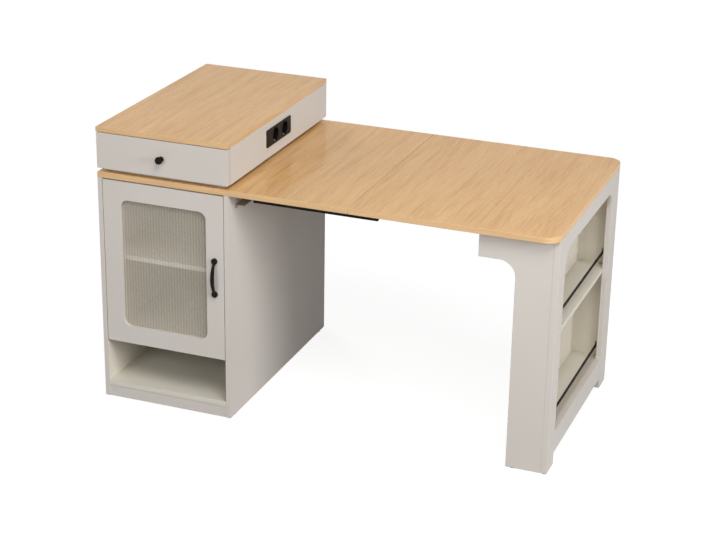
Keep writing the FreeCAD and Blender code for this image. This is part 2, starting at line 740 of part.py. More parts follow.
def well_centres():
    """Centres of the two wells on the socket plate, counted from its lower front corner."""
    middle = c.socketLength / 2 + c.wellOffset
    return [middle - c.wellSpacing / 2, middle + c.wellSpacing / 2]


def socket_plate():
    """The moulded strip: a rounded face plate with two deep wells and their pin holes."""
    body = new_body("socket_plate")
    height = c.socketHeight / 2
    face = rectangle(0, 0, c.socketLength, c.socketHeight, c.socketRound)
    pad(body, draw(body, "YZ", [face], offset=c.wellDepth), c.socketThick, "YZ")
    cups = [(y, height, c.wellRadius + c.wellWall) for y in well_centres()]
    pad(body, draw(body, "YZ", circles=cups), c.wellDepth, "YZ")
    wells = [(y, height, c.wellRadius) for y in well_centres()]
    depth = c.wellDepth + c.socketThick - c.wellWall
    cut(body, draw(body, "YZ", circles=wells, offset=c.wellWall), depth, "YZ")
    holes = []
    for y in well_centres():
        for sign in (-0.5, 0.5):
            holes.append((y + c.pinHoleSpacing * sign, height, c.pinHoleRadius))
    cut(body, draw(body, "YZ", circles=holes), c.wellWall, "YZ")
    return keep(place(body, c.cabinetWidth - c.wellDepth, c.socketPlace, socketBase),
                "socket_plate")


def socket_housing():
    """The wiring box behind the strip, open towards it, through the cut-out."""
    depth = c.panelThick + c.housingDepth
    play = c.housingPlay
    wall = c.housingWall
    x = c.cabinetWidth - depth
    y = c.socketPlace + c.socketLip * 2 + play
    z = socketBase + c.socketLip + play
    length, height = cutLength - play * 2, cutHeight - play * 2
    outer = block("housing_outer", x, y, z, depth, length, height)
    inner = block("housing_inner", x + wall, y + wall, z + wall, depth,
                  length - wall * 2, height - wall * 2)
    shell = doc.addObject("Part::Cut", "socket_housing")
    shell.Base = outer
    shell.Tool = inner
    return keep(shell, "socket_housing")


def unit_back():
    body = new_body("unit_back")
    width, height = cabinetInner, unitTopBase - unitFloorTop
    pad(body, draw(body, "XZ", [rectangle(0, 0, width, height)]), c.panelThick, "XZ")
    hole = [(width - c.inletInset, height / 2, c.inletRadius + c.inletWall)]
    cut(body, draw(body, "XZ", circles=hole), c.panelThick, "XZ")
    return keep(place(body, c.panelThick, c.tableDepth - c.panelThick, unitFloorTop),
                "unit_back")


def cable_grommet():
    """A ring that lines the lead's way through the back."""
    sleeve = c.inletRadius + c.inletWall - c.fitPlay
    rim = c.inletRadius + c.inletWall + c.inletFlange
    corners = [(c.inletRadius, 0), (sleeve, 0), (sleeve, c.panelThick),
               (rim, c.panelThick), (rim, c.panelThick + c.inletFlangeThick),
               (c.inletRadius, c.panelThick + c.inletFlangeThick)]
    body = turned_piece("cable_grommet", corners)
    x = c.panelThick + cabinetInner - c.inletInset
    z = unitFloorTop + (unitTopBase - unitFloorTop) / 2
    return keep(place(body, x, c.tableDepth - c.panelThick, z, UP_TO_BACK), "cable_grommet")


def channel_outline(depth, height, wall, open_far=True):
    """A C section: a web at the near side, and two flanges that reach to the far side."""
    corners = [(0, 0), (depth, 0), (depth, wall), (wall, wall), (wall, height - wall),
               (depth, height - wall), (depth, height), (0, height)]
    if open_far:
        return corners
    return flip(corners, size(depth))


def nested_members(name, depth, height, wall, play):
    """Three members of a telescopic slide, as (start, rise, depth, height, open_far)."""
    step = wall + play
    middle_depth = depth - wall - step - play
    inner_depth = depth - step * 2
    return {
        name + "_outer": (size(0), size(0), depth - step, height, True),
        name + "_middle": (step, step, middle_depth, height - step * 2, True),
        name + "_inner": (step * 2, step * 2, inner_depth, height - step * 4, False),
    }


def make_drawer_slides():
    """Left and right slides, each with a fixed, a middle and a drawer member."""
    members = nested_members("drawer_slide", c.slideThick, c.slideHeight, c.slideWall,
                             c.slidePlay)
    y = unitFront + c.slideInset
    for name, (start, rise, depth, height, open_far) in members.items():
        outline = channel_outline(depth, height, c.slideWall, open_far)
        left_bar = profile_bar(name + "_left", "XZ", outline, c.slideLength)
        place(left_bar, c.panelThick + start, y, slideBase + rise)
        right_bar = profile_bar(name + "_right", "XZ", flip(outline, depth), c.slideLength)
        place(right_bar, c.cabinetWidth - c.panelThick - start - depth, y, slideBase + rise)
        group(name + "s", [left_bar, right_bar])


def make_drawer():
    board("drawer_front", c.drawerPlay / 2, 0, unitBase, c.cabinetWidth - c.drawerPlay,
          c.drawerFrontThick, unitTopBase - unitBase - c.drawerFrontGap)
    side_y = c.drawerFrontThick
    board("drawer_side_left", drawerLeft, side_y, drawerBase, c.drawerWall,
          c.drawerLength, c.drawerBoxHeight)
    board("drawer_side_right", drawerLeft + drawerWidth - c.drawerWall, side_y, drawerBase,
          c.drawerWall, c.drawerLength, c.drawerBoxHeight)
    board("drawer_back", drawerLeft + c.drawerWall, side_y + c.drawerLength - c.drawerWall,
          drawerBase, drawerWidth - c.drawerWall * 2, c.drawerWall, c.drawerBoxHeight)
    board("drawer_bottom", drawerLeft, side_y, drawerBase - c.drawerFloorThick, drawerWidth,
          c.drawerLength, c.drawerFloorThick)
    neck = c.knobBaseThick + c.knobNeckLength
    rim = neck + c.knobSwell
    face = rim + c.knobRim + c.knobCrown
    shoulder = c.knobCrown * BEVEL_SHARE
    corners = [(0, 0), (c.knobBase, 0), (c.knobBase, c.knobBaseThick),
               (c.knobNeck, c.knobBaseThick), (c.knobNeck, neck), (c.knobHead, rim),
               (c.knobHead, rim + c.knobRim), (c.knobHead - shoulder, face - shoulder),
               (c.knobHead - c.knobCrown, face), (0, face)]
    knob = turned_piece("drawer_knob", corners)
    middle = unitBase + (unitTopBase - unitBase - c.drawerFrontGap) / 2
    keep(place(knob, c.cabinetWidth / 2, 0, middle, UP_TO_FRONT), "drawer_knob")


def make_drawer_unit():
    height = unitTopBase - unitBase
    board("unit_side_left", 0, unitFront, unitBase, c.panelThick, unitDepth, height)
    unit_side_right()
    board("unit_floor", c.panelThick, unitFront, unitBase, cabinetInner, unitDepth,
          c.unitFloorThick)
    unit_back()
    board("unit_divider", c.panelThick, c.dividerPlace, unitFloorTop, cabinetInner,
          c.dividerThick, unitTopBase - unitFloorTop)
    oak_board("unit_top", 0, unitTopBase, c.unitTopThick,
              rectangle(0, 0, c.cabinetWidth, c.tableDepth))
    strips = []
    spread = c.tableDepth - c.spacerInset * 2 - c.spacerWidth
    for label, share in (("front", 0.0), ("middle", 0.5), ("back", 1.0)):
        strips.append(block("spacer_" + label, c.spacerInset, c.spacerInset + spread * share,
                            c.tableHeight, c.cabinetWidth - c.spacerInset * 2,
                            c.spacerWidth, c.unitGap))
    group("unit_spacers", strips)
    socket_plate()
    socket_housing()
    cable_grommet()
    make_drawer_slides()
    make_drawer()


# ---- runners under the table top ------------------------------------------------------------

def make_runners():
    """Two telescopic runners that cross the joint between the fixed board and the leaf."""
    members = nested_members("runner", c.runnerThick, c.runnerHeight, c.runnerWall,
                             c.runnerPlay)
    for name, (start, rise, depth, height, open_far) in members.items():
        outline = channel_outline(depth, height, c.runnerWall, open_far)
        bars = []
        for side in ("front", "back"):
            corners = outline if side == "front" else flip(outline, depth)
            bar = profile_bar("%s_%s" % (name, side), "YZ", corners, runnerLength)
            y = c.runnerInset + start
            if side == "back":
                y = c.tableDepth - y - depth
            if name == "runner_outer":
                add_runner_pads(bar, depth)
            place(bar, runnerStart, y, runnerBase + rise)
            bars.append(bar)
        if name == "runner_outer":
            for bar in bars:
                keep(bar, bar.Name)
        else:
            group(name + "s", bars)
    make_leaf_brackets()


def add_runner_pads(bar, depth):
    """Two raised pads on the outer member, where it is screwed up under the fixed board."""
    far = c.fixedLength - runnerStart - c.runnerPadEnd - c.runnerPadLength
    for x in (c.runnerPadEnd, far):
        feet = rectangle(x, 0, c.runnerPadLength, depth)
        pad(bar, draw(bar, "XY", [feet], offset=c.runnerHeight), c.runnerPad, "XY")


def make_leaf_brackets():
    """Cranked plates that hang the moving members from the leaf."""
    drop, thick = c.bracketDrop, c.bracketThick
    corners = [(0, 0), (thick, 0), (thick, drop - thick), (c.bracketFoot, drop - thick),
               (c.bracketFoot, drop), (0, drop)]
    x = leafStart + c.bracketInset
    length = c.runnerAhead - c.seamGap - c.bracketInset - c.bracketEnd
    brackets = []
    for side in ("front", "back"):
        outline = corners if side == "front" else flip(corners, size(c.bracketFoot))
        bracket = profile_bar("leaf_bracket_" + side, "YZ", outline, length)
        y = c.runnerInset + c.runnerThick
        if side == "back":
            y = c.tableDepth - y - c.bracketFoot
        brackets.append(place(bracket, x, y, slabUnder - drop))
    group("leaf_brackets", brackets)


def make_side_ledger():
    """A steel angle along the cabinet's flank, below the table top."""
    corners = [(0, 0), (c.ledgerThick, 0), (c.ledgerThick, c.ledgerHeight - c.ledgerThick),
               (c.ledgerReach, c.ledgerHeight - c.ledgerThick),
               (c.ledgerReach, c.ledgerHeight), (0, c.ledgerHeight)]
    bar = profile_bar("side_ledger", "XZ", corners, c.tableDepth - c.ledgerInset * 2)
    keep(place(bar, c.cabinetWidth, c.ledgerInset, slabUnder - c.ledgerDrop - c.ledgerHeight),
         "side_ledger")


# ---- shelf unit at the far end --------------------------------------------------------------

def flag_panel(name, y):
    """A leg that turns into an arm under the top, with a round inside corner."""
    leg = legStart - endStart
    arm = endHeight - c.armHeight
    corners = [(leg, 0), (endPanelLength, 0), (endPanelLength, endHeight), (0, endHeight),
               (0, arm), (leg, arm, c.armRadius)]
    body = new_body(name)
    pad(body, draw(body, "XZ", [corners]), c.endSidePanel, "XZ")
    return keep(place(body, endStart, y, c.glideThick), name)


def end_face_frame():
    """The open face towards the room: two stiles on the floor and an arched top rail."""
    head = endHeight - c.frameTopRail
    far = endDepth - c.stileWidth
    corners = [(0, 0), (c.stileWidth, 0), (c.stileWidth, head, c.frameRadius),
               (far, head, c.frameRadius), (far, 0), (endDepth, 0),
               (endDepth, endHeight), (0, endHeight)]
    body = new_body("end_face_frame")
    pad(body, draw(body, "YZ", [corners]), c.endFrame, "YZ")
    return keep(place(body, endFrameStart, c.endInset, c.glideThick), "end_face_frame")


def end_shelf(name, top):
    """A shelf that fills the unit behind its face frame."""
    board(name, legStart + c.panelThick, c.endInset + c.endSidePanel, top - c.shelfThick,
          endFrameStart - legStart - c.panelThick, innerDepth, c.shelfThick)


def make_gallery():
    """A rod above each shelf's open edge, in a round flange on either panel."""
    rods = []
    flanges = []
    x = endFrameStart - c.galleryBehind
    near = c.endInset + c.endSidePanel
    flange = [(c.galleryRadius + c.fitPlay, 0), (c.galleryFlange, 0),
              (c.galleryFlange - c.galleryFlangeEase, c.galleryFlangeThick),
              (c.galleryRadius + c.fitPlay, c.galleryFlangeThick)]
    for label, top in (("lower", c.endFloorTop), ("upper", c.endShelfTop)):
        rod = doc.addObject("Part::Cylinder", "rod_" + label)
        bind(rod, Radius=c.galleryRadius, Height=innerDepth)
        rods.append(place(rod, x, near, top + c.galleryHeight, UP_TO_BACK))
        for side, y, rotation in (("near", near, UP_TO_BACK),
                                  ("far", near + innerDepth, UP_TO_FRONT)):
            ring = turned_piece("flange_%s_%s" % (label, side), flange)
            flanges.append(place(ring, x, y, top + c.galleryHeight, rotation))
    group("gallery_rods", rods)
    group("gallery_flanges", flanges)


def make_end_unit():
    flag_panel("end_panel_front", c.endInset)
    flag_panel("end_panel_back", c.tableDepth - c.endInset - c.endSidePanel)
    inner_y = c.endInset + c.endSidePanel
    board("end_inner_panel", legStart, inner_y, c.glideThick, c.panelThick, innerDepth,
          endHeight)
    end_face_frame()
    end_shelf("end_floor", c.endFloorTop)
    end_shelf("end_middle_shelf", c.endShelfTop)
    board("end_bottom_rail", endFrameStart, c.endInset + c.stileWidth, c.footHeight,
          c.endFrame - c.endRailSetback, openingDepth,
          c.endFloorTop + c.endRailLip - c.footHeight)
    board("arm_stretcher", endStart + c.stretcherInset, inner_y,
          slabUnder - c.battenThick - c.stretcherHeight, c.stretcherThick, innerDepth,
          c.stretcherHeight)
    battens = []
    start = leafStart + c.battenStart
    for side, y in (("front", c.battenInset),
                    ("back", c.tableDepth - c.battenInset - c.battenWidth)):
        battens.append(block("batten_" + side, start, y, slabUnder - c.battenThick,
                             legStart - start, c.battenWidth, c.battenThick))
    group("joining_battens", battens)
    make_gallery()
    glides = []
    frame_x = endFrameStart + c.endFrame / 2
    for side, x in (("inner", legStart + c.glideInset / 2), ("outer", frame_x)):
        for row, y in (("front", c.endInset + c.endSidePanel / 2),
                       ("back", c.tableDepth - c.endInset - c.endSidePanel / 2)):
            glides.append(glide("end_glide_%s_%s" % (side, row), x, y))
    group("end_glides", glides)


make_table_top()
make_cabinet()
make_door()
make_drawer_unit()
make_runners()
make_side_ledger()
make_end_unit()
doc.recompute()

for thing in doc.Objects:
    if "Invalid" in thing.State or "Error" in thing.State:
        raise ValueError("%s did not build: %s" % (thing.Label, thing.State))
for node in nodes:
    if node.Shape.isNull() or not node.Shape.isValid():
        raise ValueError("%s has no valid shape" % node.Label)
    if node.Shape.Volume <= 0 or not node.Shape.Solids:
        raise ValueError("%s holds no solid" % node.Label)
for node in nodes:
    node.Shape.exportStep("parts/%s.step" % node.Label)
print("%d sub-parts written" % len(nodes))
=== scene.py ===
import json
import math

import bmesh
import bpy
from mathutils import Matrix, Vector


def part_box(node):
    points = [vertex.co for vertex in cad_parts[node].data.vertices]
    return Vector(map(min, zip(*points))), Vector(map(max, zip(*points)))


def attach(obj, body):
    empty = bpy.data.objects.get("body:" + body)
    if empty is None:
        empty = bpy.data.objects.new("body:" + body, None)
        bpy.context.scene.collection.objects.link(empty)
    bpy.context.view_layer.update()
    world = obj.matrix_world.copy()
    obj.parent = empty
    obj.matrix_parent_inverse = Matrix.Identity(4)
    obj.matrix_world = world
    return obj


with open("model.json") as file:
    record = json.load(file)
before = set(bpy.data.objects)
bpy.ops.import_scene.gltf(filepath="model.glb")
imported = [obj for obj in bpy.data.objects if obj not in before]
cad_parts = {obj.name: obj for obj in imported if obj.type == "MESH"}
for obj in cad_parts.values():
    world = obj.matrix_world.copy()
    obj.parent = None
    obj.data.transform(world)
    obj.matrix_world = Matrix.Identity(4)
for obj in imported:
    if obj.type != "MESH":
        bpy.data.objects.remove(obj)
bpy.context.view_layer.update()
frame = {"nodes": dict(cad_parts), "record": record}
nodes = frame["nodes"]


class Wire:
    # one output socket; arithmetic on it adds Math nodes to its material
    def __init__(self, finish, socket):
        self.finish = finish
        self.socket = socket

    def maths(self, operation, first, second=None):
        values = {0: first} if second is None else {0: first, 1: second}
        return self.finish.node("ShaderNodeMath", {"operation": operation}, values)

    def __add__(self, other):
        return self.maths("ADD", self, other)

    def __radd__(self, other):
        return self.maths("ADD", other, self)

    def __sub__(self, other):
        return self.maths("SUBTRACT", self, other)

    def __rsub__(self, other):
        return self.maths("SUBTRACT", other, self)

    def __mul__(self, other):
        return self.maths("MULTIPLY", self, other)

    def __rmul__(self, other):
        return self.maths("MULTIPLY", other, self)

    def beside(self, number):
        # another output of the same node
        return Wire(self.finish, self.socket.node.outputs[number])

    def larger(self, other):
        return self.maths("MAXIMUM", self, other)

    def size(self):
        return self.maths("ABSOLUTE", self)

    def cosine(self):
        return self.maths("COSINE", self)


class Finish:
    # a material being put together
    def __init__(self, name):
        self.material = bpy.data.materials.new(name)
        self.material.use_nodes = True
        self.tree = self.material.node_tree
        self.tree.nodes.clear()
        self.output = self.tree.nodes.new("ShaderNodeOutputMaterial")

    def node(self, kind, settings=None, sockets=None, out=0):
        # settings first, then the sockets' values or links
        made = self.tree.nodes.new(kind)
        for key, value in (settings or {}).items():
            if key == "stops":
                self.setStops(made.color_ramp, value)
            else:
                setattr(made, key, value)
        for key, value in (sockets or {}).items():
            if isinstance(value, Wire):
                self.tree.links.new(value.socket, made.inputs[key])
            else:
                made.inputs[key].default_value = value
        return Wire(self, made.outputs[out])

    def setStops(self, ramp, stops):
        while len(ramp.elements) > 1:
            ramp.elements.remove(ramp.elements[-1])
        for number, (place, colour) in enumerate(stops):
            spot = ramp.elements[0] if number == 0 else ramp.elements.new(place)
            spot.position = place
            spot.color = colour

    def place(self):
        # where a point is on the object, in metres
        return self.node("ShaderNodeTexCoord", out="Object")

    def stretch(self, vector, scale):
        return self.node("ShaderNodeMapping", None, {"Vector": vector, "Scale": scale})

    def noise(self, vector, scale=1.0, detail=2.0, roughness=0.5):
        return self.node("ShaderNodeTexNoise", None,
                         {"Vector": vector, "Scale": scale, "Detail": detail,
                          "Roughness": roughness})

    def ramp(self, factor, stops):
        return self.node("ShaderNodeValToRGB", {"stops": stops}, {0: factor})

    def grey(self, factor, low, high):
        # a soft step from 0 to 1 between two levels
        return self.node("ShaderNodeMapRange", {"interpolation_type": "SMOOTHSTEP"},
                         {"Value": factor, "From Min": low, "From Max": high})

    def mix(self, factor, first, second):
        # sockets 6 and 7 are the two colours, output 2 is the mixed one
        return self.node("ShaderNodeMix", {"data_type": "RGBA"},
                         {0: factor, 6: first, 7: second}, 2)

    def bump(self, height, strength, distance):
        return self.node("ShaderNodeBump", None,
                         {"Height": height, "Strength": strength, "Distance": distance})

    def alongAxis(self, vector, axis):
        # one of the three parts of a vector
        return self.node("ShaderNodeSeparateXYZ", None, {0: vector}, axis)

    def facing(self, axis):
        # how far the face looks along an axis
        return self.alongAxis(self.node("ShaderNodeNewGeometry", out="True Normal"), axis)

    def shader(self, **sockets):
        # an underscore in a name stands for the space in the socket's name
        named = {key.replace("_", " "): value for key, value in sockets.items()}
        return self.node("ShaderNodeBsdfPrincipled", None, named)

    def finishWith(self, shader):
        self.tree.links.new(shader.socket, self.output.inputs["Surface"])
        return self.material


def paint(red, green, blue):
    # a colour read off in 0-255 steps, as the linear colour the shader wants
    steps = []
    for step in (red, green, blue):
        level = step / 255
        steps.append(level / 12.92 if level <= 0.04045 else ((level + 0.055) / 1.055) ** 2.4)
    return (*steps, 1.0)


def fade(colour, share):
    return (*[part * share for part in colour[:3]], 1.0)


# In the looks below a noise is its scale, as features per metre, its detail and its
# roughness; steps are two levels between which a mask rises from 0 to 1; a relief is its
# strength and its depth in metres; and what ends in Rough is added to the roughness.
oakLook = {
    "light": paint(224, 181, 126),
    "middle": paint(215, 170, 114),
    "dark": paint(198, 149, 93),
    "pore": paint(172, 124, 75),
    "band": paint(219, 181, 134),
    # streaks: metres from one to the next, metres along one, detail, roughness
    "figure": (0.030, 0.39, 2.0, 0.5),
    "rings": (0.0065, 0.21, 2.0, 0.55),
    "threads": (0.0016, 0.06, 2.0, 0.6),
    "pores": (0.00112, 0.012, 1.0, 0.4),
    "wander": 0.05,                  # how far a streak drifts sideways
    "wanderStretch": (4.0, 1.6, 4.0),
    "figureShare": 0.30,             # what each kind of streak adds to the tone
    "ringShare": 0.38,
    "threadShare": 0.32,
    "darkAt": 0.36,                  # the tones at which the three colours lie
    "middleAt": 0.49,
    "lightAt": 0.62,
    "poreSteps": (0.58, 0.72),
    "poreRingSteps": (0.38, 0.60),   # pores show in the lighter streaks only
    "poreDepth": 0.55,
    "faceSteps": (0.55, 0.85),       # from the edge band to the level faces
    "bandStretch": (9.0, 9.0, 420.0),
    "bandNoise": (1.0, 3.0),
    "bandSteps": (0.3, 0.7),
    "bandShade": 0.86,
    "roughness": 0.40,
    "threadRough": 0.10,
    "poreRough": 0.15,
    "sheen": 0.04,
    "lacquer": 0.48,                 # the clear coat over the decor
    "lacquerRoughness": 0.13,
    "lacquerInPore": 0.3,            # how much of it a pore takes away
    "threadHeight": 0.5,             # beside a pore's depth of 1
    "relief": (0.18, 0.0003),
    "shifts": {                      # each top is cut from another part of the decor
        "oak_top": (0.0, 0.0, 0.0),
        "oak_unit_top": (3.3, 1.7, 0.4),
        "oak_leaf": (1.9, 0.6, 0.2),
        "oak_end": (5.1, 2.3, 0.7),
    },
}


def oakFinish(name):
    # oak decor: every top carries its grain from the front edge to the back edge
    look = oakLook
    f = Finish(name)
    moved = f.node("ShaderNodeVectorMath", {"operation": "ADD"},
                   {0: f.place(), 1: look["shifts"][name]})
    wander = f.noise(f.stretch(moved, look["wanderStretch"]))
    split = f.alongAxis(moved, 0)
    across = split + (wander - 0.5) * look["wander"]
    line = f.node("ShaderNodeCombineXYZ", None,
                  {0: across, 1: split.beside(1), 2: split.beside(2)})

    def streaks(kind):
        pitch, run, detail, roughness = look[kind]
        stretched = f.stretch(line, (1 / pitch, 1 / run, 1 / pitch))
        return f.noise(stretched, 1.0, detail, roughness)

    figure = streaks("figure")
    rings = streaks("rings")
    threads = streaks("threads")
    pores = streaks("pores")
    tone = (figure * look["figureShare"] + rings * look["ringShare"]
            + threads * look["threadShare"])
    wood = f.ramp(tone, [(look["darkAt"], look["dark"]), (look["middleAt"], look["middle"]),
                         (look["lightAt"], look["light"])])
    poreMask = (f.grey(pores, *look["poreSteps"]) * f.grey(rings, *look["poreRingSteps"])
                * look["poreDepth"])
    top = f.mix(poreMask, wood, look["pore"])
    # the edge band is plainer and a little paler than the faces
    onFace = f.grey(f.facing(2).size(), *look["faceSteps"])
    bandTone = f.noise(f.stretch(moved, look["bandStretch"]), *look["bandNoise"])
    bandDark = fade(look["band"], look["bandShade"])
    band = f.mix(f.grey(bandTone, *look["bandSteps"]), look["band"], bandDark)
    colour = f.mix(onFace, band, top)
    rough = look["roughness"] + threads * look["threadRough"] + poreMask * look["poreRough"]
    relief = f.bump(threads * look["threadHeight"] - poreMask, *look["relief"])
    coat = look["lacquer"] - poreMask * look["lacquerInPore"]
    return f.finishWith(f.shader(Base_Color=colour, Roughness=rough, Normal=relief,
                                 Specular_IOR_Level=look["sheen"], Coat_Weight=coat,
                                 Coat_Roughness=look["lacquerRoughness"]))


paintLook = {
    # each paint wanders between two close tones
    "body": (paint(204, 198, 192), paint(201, 194, 187)),
    "bounceLitInside": (paint(211, 206, 194), paint(208, 202, 189)),      # level boards inside, lighter and warmer than the body: painted bounce light
    "bayBounceLit": (paint(223, 217, 204), paint(218, 211, 197)),         # upright faces inside the bays, lighter and warmer still: painted bounce light
    "unitFlankBounceOffset": (paint(206, 203, 199), paint(203, 199, 194)),   # a cooler copy of the body paint, painted to offset the warm light the oak bounces onto it
    "shelfEdgeHighlight": (paint(246, 243, 238), paint(240, 236, 229)),      # painted highlight on the shelf's front edge, for the light it catches behind the glass
    "steel": (paint(150, 143, 130), fade(paint(150, 143, 130), 0.9)),
    "clouds": (2.2, 3.0),
    "cloudSteps": (0.3, 0.7),
    "innerSteps": (0.5, 0.8),        # from the other faces to the one that gets the painted light tones
    "peel": (900.0, 1.0),
    "peelRough": 0.06,
    "peelRelief": (0.12, 0.0003),
    "markStretch": (14.0, 14.0, 5.0),
    "marks": (1.0, 4.0, 0.7),
    "markSteps": (0.66, 0.86),
    "markCover": 0.25,
    "markShade": 0.9,
    "dullSteps": (0.5, 0.8),         # where a mark also dulls the paint
    "dullRough": 0.07,
    "roughness": 0.46,
    "steelRoughness": 0.38,
    "sheen": 0.3,
}


def paintFinish(name, tones, inner=None, paintedLightTones="bayBounceLit", roughness=paintLook["roughness"]):
    # sprayed board: faint clouds, an orange-peel skin and light handling marks
    # inner is the axis and the way that the face with the painted light tones looks; those
    # tones are painted bounce light or a painted highlight
    look = paintLook
    f = Finish(name)
    spot = f.place()
    clouds = f.grey(f.noise(spot, *look["clouds"]), *look["cloudSteps"])
    peel = f.noise(spot, *look["peel"])
    marks = f.noise(f.stretch(spot, look["markStretch"]), *look["marks"])
    colour = f.mix(clouds, *look[tones])
    if inner:
        axis, way = inner
        # the painted light tones for the one facing
        paintedLightTone = f.mix(clouds, *look[paintedLightTones])
        colour = f.mix(f.grey(f.facing(axis) * way, *look["innerSteps"]), colour, paintedLightTone)
    worn = fade(look[tones][0], look["markShade"])
    colour = f.mix(f.grey(marks, *look["markSteps"]) * look["markCover"], colour, worn)
    rough = (roughness + peel * look["peelRough"]
             + f.grey(marks, *look["dullSteps"]) * look["dullRough"])
    return f.finishWith(f.shader(Base_Color=colour, Roughness=rough,
                                 Normal=f.bump(peel, *look["peelRelief"]),
                                 Specular_IOR_Level=look["sheen"]))


glassLook = {
    "tint": paint(236, 228, 213),
    # the darker colour painted into the rib valleys as painted shade
    "ribShade": paint(177, 166, 146),
    "ribPitch": 0.0095,
    "ribRelief": (0.35, 0.0006),
    "ribShadeSteps": (-0.2, 1.0),
    "haze": (24.0, 2.0),
    "hazeShare": 0.08,       # of the tone; the painted rib shade makes the rest
    "hazeRough": 0.06,
    "cover": 0.31,           # how much each face of the pane hides
    "ribShadeCover": 0.07,     # what the painted shade bands add to it
    "roughness": 0.16,
    "sheen": 0.25,
}


def glassFinish():
    # fluted glass: a milky beige pane; the soft bands along its upright ribs are painted shade
    look = glassLook
    f = Finish("fluted_glass")
    spot = f.place()
    low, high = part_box("door_glass")
    middle = (low[0] + high[0]) / 2
    phase = (f.alongAxis(spot, 0) - middle) * (2 * math.pi / look["ribPitch"])
    wave = phase.cosine()
    haze = f.noise(spot, *look["haze"])
    ribShade = f.grey(wave, *look["ribShadeSteps"])
    shade = ribShade * (1 - look["hazeShare"]) + haze * look["hazeShare"]
    return f.finishWith(f.shader(Base_Color=f.mix(shade, look["tint"], look["ribShade"]),
                                 Roughness=look["roughness"] + haze * look["hazeRough"],
                                 Alpha=look["cover"] + ribShade * look["ribShadeCover"],
                                 Normal=f.bump(wave, *look["ribRelief"]),
                                 Specular_IOR_Level=look["sheen"]))


metalLook = {
    "blackCoat": paint(24, 19, 15),
    "blackWorn": paint(52, 43, 35),
    "blackRoughness": 0.30,
    "blackSheen": 0.10,
    "grit": (1400.0, 2.0),
    "gritRough": 0.14,
    "gritRelief": (0.2, 0.0002),
    "rub": (60.0, 4.0, 0.65),
    "rubSteps": (0.62, 0.8),
    "rubCover": 0.45,
    "rubRough": 0.08,
    "pewter": paint(126, 114, 94),
    "zinc": paint(176, 178, 180),
    "brass": paint(182, 150, 92),
    "bareRoughness": 0.28,
    "brushStretch": (1500.0, 40.0, 1500.0),
    "brushRough": 0.16,
    "brushRelief": (0.15, 0.0002),
    "spangleScale": 260.0,
    "spangleSteps": (0.2, 0.9),
    "spangleCover": 0.3,
    "spangleShade": 0.75,
}


def blackMetalFinish():
    # a gritty powder coat, rubbed lighter here and there
    look = metalLook
    f = Finish("black_metal")
    spot = f.place()
    grit = f.noise(spot, *look["grit"])
    rub = f.noise(spot, *look["rub"])
    colour = f.mix(f.grey(rub, *look["rubSteps"]) * look["rubCover"], look["blackCoat"],
                   look["blackWorn"])
    rough = look["blackRoughness"] + grit * look["gritRough"] + rub * look["rubRough"]
    return f.finishWith(f.shader(Base_Color=colour, Roughness=rough,
                                 Normal=f.bump(grit, *look["gritRelief"]),
                                 Specular_IOR_Level=look["blackSheen"]))


def zincFinish(name, colour):
    # bare or plated metal with a brushed grain and soft crystals
    look = metalLook
    f = Finish(name)
    spot = f.place()
    brushed = f.noise(f.stretch(spot, look["brushStretch"]))
    spangle = f.node("ShaderNodeTexVoronoi", None,
                     {"Vector": spot, "Scale": look["spangleScale"]})
    tone = f.mix(f.grey(spangle, *look["spangleSteps"]) * look["spangleCover"], colour,
                 fade(colour, look["spangleShade"]))
    rough = look["bareRoughness"] + brushed * look["brushRough"]
    return f.finishWith(f.shader(Base_Color=tone, Metallic=1.0, Roughness=rough,
                                 Normal=f.bump(brushed, *look["brushRelief"])))


plasticLook = {
    # colour, worn colour, roughness
    "black_plastic": (paint(17, 15, 14), paint(27, 24, 21), 0.38),
    "white_plastic": (paint(226, 226, 220), fade(paint(226, 226, 220), 0.94), 0.42),
    "glide_plastic": (paint(176, 171, 164), fade(paint(176, 171, 164), 0.92), 0.5),
    "grainScale": 1700.0,
    "grainRough": 0.12,
    "grainRelief": (0.25, 0.0002),
    "wear": (45.0, 3.0),
    "wearSteps": (0.5, 0.8),
    "wearCover": 0.4,
    "sheen": 0.14,
}


def plasticFinish(name):
    # moulded plastic with a fine eroded grain
    look = plasticLook
    colour, worn, roughness = look[name]
    f = Finish(name)
    spot = f.place()
    grain = f.node("ShaderNodeTexVoronoi", None, {"Vector": spot, "Scale": look["grainScale"]})
    wear = f.grey(f.noise(spot, *look["wear"]), *look["wearSteps"])
    return f.finishWith(f.shader(Base_Color=f.mix(wear * look["wearCover"], colour, worn),
                                 Roughness=roughness + grain * look["grainRough"],
                                 Normal=f.bump(grain, *look["grainRelief"]),
                                 Specular_IOR_Level=look["sheen"]))


print("finishes")
oakTop, oakUnit, oakLeaf, oakEnd = [oakFinish(name) for name in oakLook["shifts"]]
painted = paintFinish("greige_paint", "body")
# a lighter, warmer copy of the paint on the boards inside: painted bounce light
bounceLitInside = paintFinish("inner_paint_bounce_lit", "bounceLitInside")
# faces turned into a bay or into the cabinet get the bay tones: painted bounce light
panelFront = paintFinish("panel_front", "body", (1, 1.0))
panelBack = paintFinish("panel_back", "body", (1, -1.0))
flankLeft = paintFinish("flank_left", "body", (0, 1.0))
flankRight = paintFinish("flank_right", "body", (0, -1.0))
# the shelf's front edge gets a painted highlight
shelfPaint = paintFinish("shelf_board", "bounceLitInside", (1, -1.0), "shelfEdgeHighlight")
# the drawer unit's side: a cooler copy of the paint against the oak's warm bounce light
unitFlankBounceOffset = paintFinish("unit_flank_bounce_offset", "unitFlankBounceOffset")
steelPaint = paintFinish("painted_steel", "steel", roughness=paintLook["steelRoughness"])
blackMetal = blackMetalFinish()
pewter = zincFinish("pewter", metalLook["pewter"])
zinc = zincFinish("zinc_steel", metalLook["zinc"])
brass = zincFinish("brass_contact", metalLook["brass"])
blackPlastic = plasticFinish("black_plastic")
whitePlastic = plasticFinish("white_plastic")
glidePlastic = plasticFinish("glide_plastic")
glass = glassFinish()

